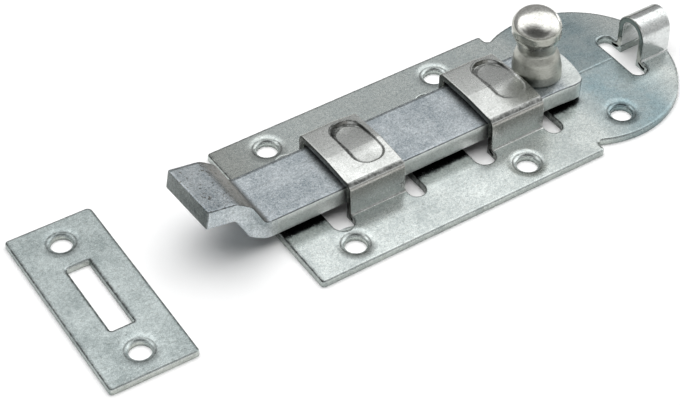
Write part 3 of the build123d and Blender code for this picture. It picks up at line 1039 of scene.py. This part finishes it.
class OBJECT_OT_barrel_bolt_eye(bpy.types.Operator):
    """Make the arched padlock eye at the rim of the round head"""

    bl_idname = "object.barrel_bolt_eye"
    bl_label = "Padlock eye"

    def execute(self, context):
        sheet, plate = group(context, "sheet"), group(context, "plate")
        eye, zinc = group(context, "eye"), group(context, "zinc")
        relief = plate_relief(sheet, plate)
        surface = sheet.thickness
        half, foot = eye.half, eye.foot_radius
        near_half = [
            (-(half + foot + 1.2 * MM), surface - 0.05 * MM, 0),
            (-(half + foot + 0.5 * MM), surface - 0.004 * MM, 0),
            (-half, surface, foot),
            (-half, eye.top, half * 0.98),
        ]
        corners = near_half + [(-y, z, radius) for y, z, radius in reversed(near_half)]
        line = denser(rounded(corners, closed=False, step_angle=5), 0.4 * MM)
        stations = with_frames(line)
        rim = plate.head_centre + plate.head_radius
        width = rim - eye.left
        outline = section(width, sheet.thickness, radius=0.22 * MM, columns=20)

        def place(station, across, depth):
            point, _, normal = station
            y, z = point - normal * depth
            y += eye.centre_y
            short = rim - (plate.head_centre + math.sqrt(plate.head_radius**2 - y * y))
            x = eye.left + across * (width - short) / width
            return Vector((x, y, z + relief(x, y) * 0.5))

        bm = sweep(stations, outline, place)
        # Zinc that the press has stretched and burnished: the brightest and smoothest of the sheet.
        material = zinc_material(
            context,
            "zinc_plated_eye",
            zinc.eye_light,
            zinc.eye_dark,
            roughness=0.22,
            grain_mm=0.5,
        )
        marks = {"sheared": edge_wear}
        finish_piece(bm, "padlock_eye", "plate", material, context, marks)
        return {"FINISHED"}


class OBJECT_OT_barrel_bolt_bar(bpy.types.Operator):
    """Make the flat bar, bent twice to its cranked tip"""

    bl_idname = "object.barrel_bolt_bar"
    bl_label = "Bolt bar"

    def execute(self, context):
        bar, zinc = group(context, "bar"), group(context, "zinc")
        middle = bar.bottom + bar.thickness / 2
        run = bar.rise / math.tan(bar.crank)
        high_x, high_z = bar.low_x - run, middle + bar.rise
        end_x = high_x - bar.tip * math.cos(bar.tilt)
        end_z = high_z + bar.tip * math.sin(bar.tilt)
        radius = bar.inner_radius + bar.thickness / 2
        corners = [
            (bar.rear, middle, 0),
            (bar.low_x, middle, radius),
            (high_x, high_z, radius),
            (end_x, end_z, 0),
        ]
        line = rounded(corners, closed=False, step_angle=5)
        total = sum((b - a).length for a, b in zip(line, line[1:]))
        # Sections of the bar: close together where an end is rounded, and further apart between.
        ends = [0.0, 0.06, 0.14, 0.24, 0.36, 0.5, 0.7, 0.9]
        marks = [e * MM for e in ends] + [total - e * MM for e in reversed(ends)]
        spacing, clear = 1.2 * MM, 1.4 * MM
        travelled, inner_marks = 0.0, []
        for a, b in zip(line, line[1:]):
            step_length = (b - a).length
            steps = max(1, round(step_length / spacing))
            inner_marks += [travelled + step_length * i / steps for i in range(steps)]
            travelled += step_length
        marks += [m for m in inner_marks if clear < m < total - clear]
        stations = [(mark, *self.at(line, mark)) for mark in sorted(marks)]
        outline = section(bar.width, bar.thickness, bar.edge, columns=30)
        # The tip was sheared a little out of square, and the rear end is twisted by a few degrees.
        out_of_square, twist = 0.04, 0.05

        def place(station, across, depth):
            travelled, point, direction, normal = station
            to_end = min(travelled, total - travelled)
            low = point.x > (bar.low_x + high_x) / 2
            slant = abs(math.asin(direction.y))
            least = 0.0 if low else bar.tilt
            bent = min(1.0, max(0.0, (slant - least) / (bar.crank - least)))
            thin = bar.thinning * math.sin(bent * math.pi) ** 2
            corner = bar.corner if travelled < total / 2 else bar.edge * 1.3
            across = self.drawn_in(across, bar.width, to_end, corner)
            depth = self.drawn_in(depth, bar.thickness, to_end, bar.edge)
            y = across - bar.width / 2
            arch = bar.rear_radius - math.sqrt(bar.rear_radius**2 - y * y)
            along = arch * (1 - smooth_step(0, 9 * MM, travelled))
            along += y * out_of_square * smooth_step(total - 8 * MM, total, travelled)
            share = depth / bar.thickness
            pull = -thin * share if low else thin * (1 - share)
            pull -= twist * y * smooth_step(9 * MM, 2 * MM, travelled)
            spot = point + direction * along + normal * (depth + pull - bar.thickness / 2)
            return Vector((spot.x, y, spot.y))

        bm = sweep(stations, outline, place)
        # Zinc on drawn flat bar: duller and bluer than the sheet, and battered at the tip.
        material = zinc_material(
            context,
            "zinc_plated_bar",
            zinc.bar_light,
            zinc.bar_dark,
            roughness=0.42,
            grain_mm=0.5,
        )
        ends = (end_x + 1.2 * MM, bar.rear - 5 * MM)

        def cut(face):
            middle = face.calc_center_median()
            at_end = middle.x < ends[0] or middle.x > ends[1]
            if at_end and abs(face.normal.x) > 0.75 and abs(face.normal.y) < 0.6:
                return 0.9
            stretched = smooth_step(-0.3, -0.6, face.normal.x) * (abs(face.normal.y) < 0.3)
            return 0.3 * stretched

        # Painted highlight on the bar's sides, less towards the tip, and on its top near the rear end.
        def side(face):
            middle = face.calc_center_median()
            if face.normal.z > 0.9:
                return 0.8 * smooth_step(36 * MM, 40 * MM, middle.x)
            if abs(face.normal.y) < 0.92:
                return 0.0
            return 1 - 0.8 * smooth_step(bar.low_x + 5 * MM, bar.low_x + 1 * MM, middle.x)

        def worn(face):
            middle = face.calc_center_median()
            bend = smooth_step(0.05, 0.7, face.normal.x)
            bend *= smooth_step(bar.low_x + 6 * MM, bar.low_x, middle.x)
            return max(bend, 0.2 * (middle.x < end_x + 1.2 * MM and face.normal.x < -0.75))

        def tip(face):
            middle = face.calc_center_median()
            return smooth_step(bar.low_x + 1 * MM, bar.low_x - 5 * MM, middle.x) * (face.normal.z > 0.3)

        # Painted shade: dark lines along the long edges and the far edge of the top, and a little on
        # the tip's end.
        def edge(face):
            middle = face.calc_center_median()
            if middle.x < end_x + 1.2 * MM and face.normal.x < -0.75:
                return 0.3
            if 0.3 < abs(face.normal.y) < 0.92 and face.normal.z > 0:
                return 0.8
            return 0.6 if middle.y > bar.width / 2 - 0.7 * MM and face.normal.z > 0.5 else 0.0

        # Painted shade on the underside from the crank to the rear.
        def underside(face):
            middle = face.calc_center_median()
            return smooth_step(-0.3, -0.8, face.normal.z) * smooth_step(-36 * MM, -32 * MM, middle.x)

        marks = {"sheared": cut, "side": side, "worn": worn}
        marks |= {"battered": tip, "rim": edge, "grease": underside}
        piece = finish_piece(bm, "bolt_bar_finished", "bolt", material, context, marks)
        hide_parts("bolt_bar")
        return {"FINISHED"}

    @staticmethod
    def at(line, mark):
        """Returns the point, direction and normal at a distance along a line."""
        for index, (a, b) in enumerate(zip(line, line[1:])):
            step = (b - a).length
            if mark <= step or index == len(line) - 2:
                direction = (b - a).normalized()
                return a + direction * mark, direction, Vector((-direction.y, direction.x))
            mark -= step

    @staticmethod
    def drawn_in(value, size, to_end, radius):
        """Draws a section's point towards its middle near the end, to round the end's edges."""
        if to_end >= radius:
            return value
        inset = radius - math.sqrt(radius**2 - (radius - to_end) ** 2)
        share = (size / 2 - inset) / (size / 2)
        return size / 2 + (value - size / 2) * share


class OBJECT_OT_barrel_bolt_knob(bpy.types.Operator):
    """Make the turned knob with its cone foot, waist and domed head"""

    bl_idname = "object.barrel_bolt_knob"
    bl_label = "Knob"

    def execute(self, context):
        knob, zinc = group(context, "knob"), group(context, "zinc")
        base, top = knob.base, knob.base + knob.height
        waist, narrow = base + knob.waist, knob.radius - knob.waist_depth

        def dome(radius):
            """Gives the height of the domed top at a radius."""
            return top - radius * radius / (2 * knob.crown_radius)

        corners = [
            (0.0, base, 0),
            (knob.foot_radius - 0.3 * MM, base, 0),
            (knob.foot_radius, base + 0.3 * MM, 0.2 * MM),
            (knob.foot_radius, base + knob.foot, 3 * MM),
            (knob.foot_radius - 0.5 * MM, waist - 1.9 * MM, 2.5 * MM),
            (narrow, waist - 0.35 * MM, 0.5 * MM),
            (narrow, waist + 0.35 * MM, 0.5 * MM),
            (knob.radius, top - knob.head, 2 * MM),
            (knob.radius, dome(knob.radius) + 0.05 * MM, knob.shoulder),
            *[(r * MM, dome(r * MM), 0) for r in (3.3, 2.7, 2.1, 1.5, 0.9, 0.4)],
            (0.0, top, 0),
        ]
        line = denser(rounded(corners, closed=False, step_angle=9), 0.3 * MM)
        profile = bpy.data.meshes.new("knob_profile")
        edges = [(i, i + 1) for i in range(len(line) - 1)]
        profile.from_pydata([(p.x, 0, p.y) for p in line], edges, [])
        # Zinc on turned steel: smooth, glossy and a little warm, its patches drawn out by the lathe.
        material = zinc_material(
            context,
            "zinc_plated_turned",
            zinc.knob_light,
            zinc.knob_dark,
            roughness=0.16,
            grain_mm=0.9,
            stretch=(0.3, 0.3, 1),
            dents=0.06,
        )
        values = {
            "Steps along": 150,
            "Steps round": 129,
            "Tool mark depth": knob.mark_depth,
            "Tool mark spacing": knob.mark_spacing,
            "Material": material,
        }
        turned = run_tree(context, turned_tree(), profile, values)
        bm = bmesh.new()
        bm.from_mesh(turned)
        bpy.data.meshes.remove(turned)
        for vertex in bm.verts:
            rise = vertex.co.z - base
            over = smooth_step(top - 2.6 * MM, top - 0.6 * MM, vertex.co.z)
            tilt = over * (vertex.co.x * knob.slope_x + vertex.co.y * knob.slope_y)
            vertex.co.x += knob.centre_x - rise * knob.lean_x
            vertex.co.y += rise * knob.lean_y
            vertex.co.z += tilt
        bmesh.ops.recalc_face_normals(bm, faces=bm.faces)

        def off_top(face):
            return 0.8 * smooth_step(0.8, 0.5, face.normal.z)

        def low(face):
            return smooth_step(top - 3 * MM, waist, face.calc_center_median().z)

        marks = {"sheared": off_top, "dull": low}
        piece = finish_piece(bm, "knob_finished", "bolt", material, context, marks)
        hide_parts("knob")
        return {"FINISHED"}


class OBJECT_OT_barrel_bolt_strike(bpy.types.Operator):
    """Make the loose strike plate with its slot and screw holes"""

    bl_idname = "object.barrel_bolt_strike"
    bl_label = "Strike plate"

    def execute(self, context):
        sheet, zinc = group(context, "sheet"), group(context, "zinc")
        strike = group(context, "strike")
        x, y = strike.width / 2, strike.length / 2
        near = [(-x, -y, strike.corner), (x, -y, strike.corner)]
        outline = rounded(near + [(x, y, 1.2 * MM), (-x, y, 0.7 * MM)])
        a, b = strike.slot_width / 2, strike.slot_length / 2
        slot = rounded([(-a, -b, 0.5 * MM), (a, -b, 0.3 * MM), (a, b, 0.3 * MM), (-a, b, 0.5 * MM)])
        places = [(0, -strike.hole_spacing / 2), (0, strike.hole_spacing / 2)]
        bm = sheet_mesh(outline, [slot], places, sheet, strike.slot_roll, 0.2)
        turn = Matrix.Rotation(strike.turn, 4, "Z")
        shift = Matrix.Translation((strike.centre_x, strike.centre_y, 0))
        bmesh.ops.transform(bm, matrix=shift @ turn, verts=bm.verts)
        # Zinc-plated sheet with no painted shade along a lane: duller and more even than the backplate.
        material = zinc_material(
            context,
            "zinc_plated_strike",
            zinc.strike_light,
            zinc.strike_dark,
            roughness=0.36,
            grain_mm=0.6,
        )
        # The walls that face along -Y get a painted highlight; the cut walls are tinted.
        marks = {"sheared": cut_wall, "side": lit_near_wall}
        piece = finish_piece(
            bm, "strike_plate_sheet", "plate", material, context, marks, weighted=True
        )
        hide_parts("strike_plate")
        return {"FINISHED"}


class OBJECT_OT_barrel_bolt_stage(bpy.types.Operator):
    """Make the pale floor, the light tent and the camera"""

    bl_idname = "object.barrel_bolt_stage"
    bl_label = "Stage"

    def execute(self, context):
        zinc, studio = group(context, "zinc"), group(context, "studio")
        bm = bmesh.new()
        bmesh.ops.create_grid(bm, x_segments=1, y_segments=1, size=20)
        mesh = bpy.data.meshes.new("floor")
        bm.to_mesh(mesh)
        bm.free()
        floor = bpy.data.objects.new("floor", mesh)
        context.scene.collection.objects.link(floor)
        mesh.materials.append(self.paper(zinc.floor, studio.lift))
        self.tent(context.scene, studio)
        self.softbox(context.scene, studio)
        self.camera(context.scene, studio)
        context.scene.view_settings.view_transform = "Standard"
        return {"FINISHED"}

    @staticmethod
    def paper(colour, lift):
        """White paper: matt, and lifted to full white where nothing shades it."""
        material, tree = new_material("white_paper")
        ray = add(tree, "ShaderNodeLightPath").outputs
        seen = ray["Is Camera Ray"]
        for other in ("Is Glossy Ray", "Is Transmission Ray"):
            both = {0: seen, 1: ray[other]}
            seen = add(tree, "ShaderNodeMath", {"operation": "MAXIMUM"}, both).outputs[0]
        lifted = add(tree, "ShaderNodeMath", TIMES, {0: seen, 1: lift}).outputs[0]
        matt = add(tree, "ShaderNodeBsdfDiffuse", None, {"Color": linear(colour)}).outputs[0]
        inputs = {"Color": linear(colour), "Strength": lifted}
        glow = add(tree, "ShaderNodeEmission", None, inputs).outputs[0]
        both = add(tree, "ShaderNodeAddShader", None, {0: matt, 1: glow}).outputs[0]
        add(tree, "ShaderNodeOutputMaterial", None, {"Surface": both})
        return material

    @staticmethod
    def tent(scene, studio):
        """A light tent: a bright panel high behind the part, dark above it and towards the camera."""
        world = bpy.data.worlds.new("light_tent")
        scene.world = world
        world.use_nodes = True
        tree = world.node_tree
        tree.nodes.clear()
        toward = add(tree, "ShaderNodeTexCoord").outputs["Generated"]
        height = add(tree, "ShaderNodeSeparateXYZ", None, {"Vector": toward}).outputs["Z"]

        # Each area rises from 0 to 1 where a direction comes near an aim, given by its turn and lift in
        # degrees and by two cosines of the angle between them.
        areas = []
        for turn, lift, low, high in (
            (-100.7, 43.1, -0.01, 0.03),
            (55, 0, -0.2, 0.3),
            (16, 0, 0.982, 0.992),
        ):
            turn, lift = math.radians(turn), math.radians(lift)
            flat = math.cos(lift)
            aim = (math.cos(turn) * flat, math.sin(turn) * flat, math.sin(lift))
            dot = {"operation": "DOT_PRODUCT"}
            near = add(tree, "ShaderNodeVectorMath", dot, {0: toward, 1: aim}).outputs["Value"]
            soft = {"interpolation_type": "SMOOTHSTEP"}
            inputs = {"Value": near, "From Min": low, "From Max": high}
            areas.append(add(tree, "ShaderNodeMapRange", soft, inputs).outputs["Result"])
        in_panel, behind_part, in_lamp = areas

        # The tent's level on each wall, from the horizon at 0 to straight up at 1.
        walls = []
        for stops in (
            [(0.0, 0.6), (0.1, 0.32), (0.6, 0.35), (0.97, 0.35)],
            [(0.0, 1.5), (0.92, 1.5), (0.97, 0.1)],
            [(0.0, 0.7), (0.08, 0.45), (0.2, 0.5), (0.72, 0.55), (0.8, 0.14), (0.97, 0.08)],
        ):
            ramp = add(tree, "ShaderNodeValToRGB", None, {"Fac": height})
            elements = ramp.color_ramp.elements
            while len(elements) < len(stops):
                elements.new(1.0)
            for element, (place, level) in zip(elements, stops):
                element.position = place
                element.color = (level, level, level, 1.0)
            walls.append(ramp.outputs["Color"])
        low_wall, panel, before = walls

        levels = {0: in_panel, 6: low_wall, 7: panel}
        behind = add(tree, "ShaderNodeMix", COLOURS, levels).outputs[2]
        levels = {0: behind_part, 6: before, 7: behind}
        level = add(tree, "ShaderNodeMix", COLOURS, levels).outputs[2]
        lamp = add(tree, "ShaderNodeMath", TIMES, {0: in_lamp, 1: studio.key * 4}).outputs[0]
        on_paper = add(tree, "ShaderNodeLightPath").outputs["Is Diffuse Ray"]
        inputs = {"Value": on_paper, "To Min": studio.sky, "To Max": studio.fill}
        strength = add(tree, "ShaderNodeMapRange", None, inputs).outputs[0]
        inputs = {"Color": level, "Strength": strength}
        sky = add(tree, "ShaderNodeBackground", None, inputs).outputs[0]
        inputs = {"Color": (1, 1, 1, 1), "Strength": lamp}
        spot = add(tree, "ShaderNodeBackground", None, inputs).outputs[0]
        both = add(tree, "ShaderNodeAddShader", None, {0: sky, 1: spot}).outputs[0]
        add(tree, "ShaderNodeOutputWorld", None, {"Surface": both})

    @staticmethod
    def softbox(scene, studio):
        """A large soft lamp high behind the part; it lights the paper and isn't mirrored."""
        data = bpy.data.lights.new("softbox", "AREA")
        data.shape = "DISK"
        data.size = studio.softbox_size
        data.energy = studio.softbox
        lamp = bpy.data.objects.new("softbox", data)
        lamp.visible_glossy = False
        scene.collection.objects.link(lamp)
        away = Vector(studio.softbox_aim).normalized()
        turn = away.to_track_quat("Z", "Y").to_matrix().to_4x4()
        lamp.matrix_world = Matrix.Translation(away) @ turn

    @staticmethod
    def camera(scene, studio):
        """A camera at the photograph's angle."""
        data = bpy.data.cameras.new("camera")
        data.lens = studio.lens
        data.sensor_width = 36
        data.clip_start, data.clip_end = 0.01, 100
        camera = bpy.data.objects.new("camera", data)
        scene.collection.objects.link(camera)
        yaw, pitch = studio.yaw, studio.pitch
        flat = math.cos(pitch)
        ahead = Vector((math.sin(yaw) * flat, math.cos(yaw) * flat, -math.sin(pitch)))
        right = Vector((math.cos(yaw), -math.sin(yaw), 0))
        up = right.cross(ahead)
        turn = Matrix((right, up, -ahead)).transposed() @ Matrix.Rotation(studio.roll, 3, "Z")
        camera.matrix_world = Matrix.Translation(studio.camera_place) @ turn.to_4x4()
        scene.camera = camera


class VIEW3D_PT_barrel_bolt(bpy.types.Panel):
    """Lists the pieces of the barrel bolt"""

    bl_label = "Barrel bolt"
    bl_space_type = "VIEW_3D"
    bl_region_type = "UI"
    bl_category = "Barrel bolt"

    def draw(self, context):
        for operator in OPERATORS:
            self.layout.operator(operator.bl_idname)


OPERATORS = (
    OBJECT_OT_barrel_bolt_stage,
    OBJECT_OT_barrel_bolt_backplate,
    OBJECT_OT_barrel_bolt_straps,
    OBJECT_OT_barrel_bolt_eye,
    OBJECT_OT_barrel_bolt_bar,
    OBJECT_OT_barrel_bolt_knob,
    OBJECT_OT_barrel_bolt_strike,
)


def register():
    """Registers the settings, the operators and the panel."""
    for key, settings in GROUPS.items():
        bpy.utils.register_class(settings)
        setattr(bpy.types.Scene, "barrel_bolt_" + key, PointerProperty(type=settings))
    for operator in OPERATORS:
        bpy.utils.register_class(operator)
    bpy.utils.register_class(VIEW3D_PT_barrel_bolt)


def unregister():
    """Takes away what register added."""
    bpy.utils.unregister_class(VIEW3D_PT_barrel_bolt)
    for operator in reversed(OPERATORS):
        bpy.utils.unregister_class(operator)
    for key, settings in reversed(list(GROUPS.items())):
        delattr(bpy.types.Scene, "barrel_bolt_" + key)
        bpy.utils.unregister_class(settings)


def main():
    """Makes every piece in order."""
    register()
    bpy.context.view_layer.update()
    for operator in OPERATORS:
        space, name = operator.bl_idname.split(".")
        getattr(getattr(bpy.ops, space), name)()


if __name__ == "__main__":
    main()
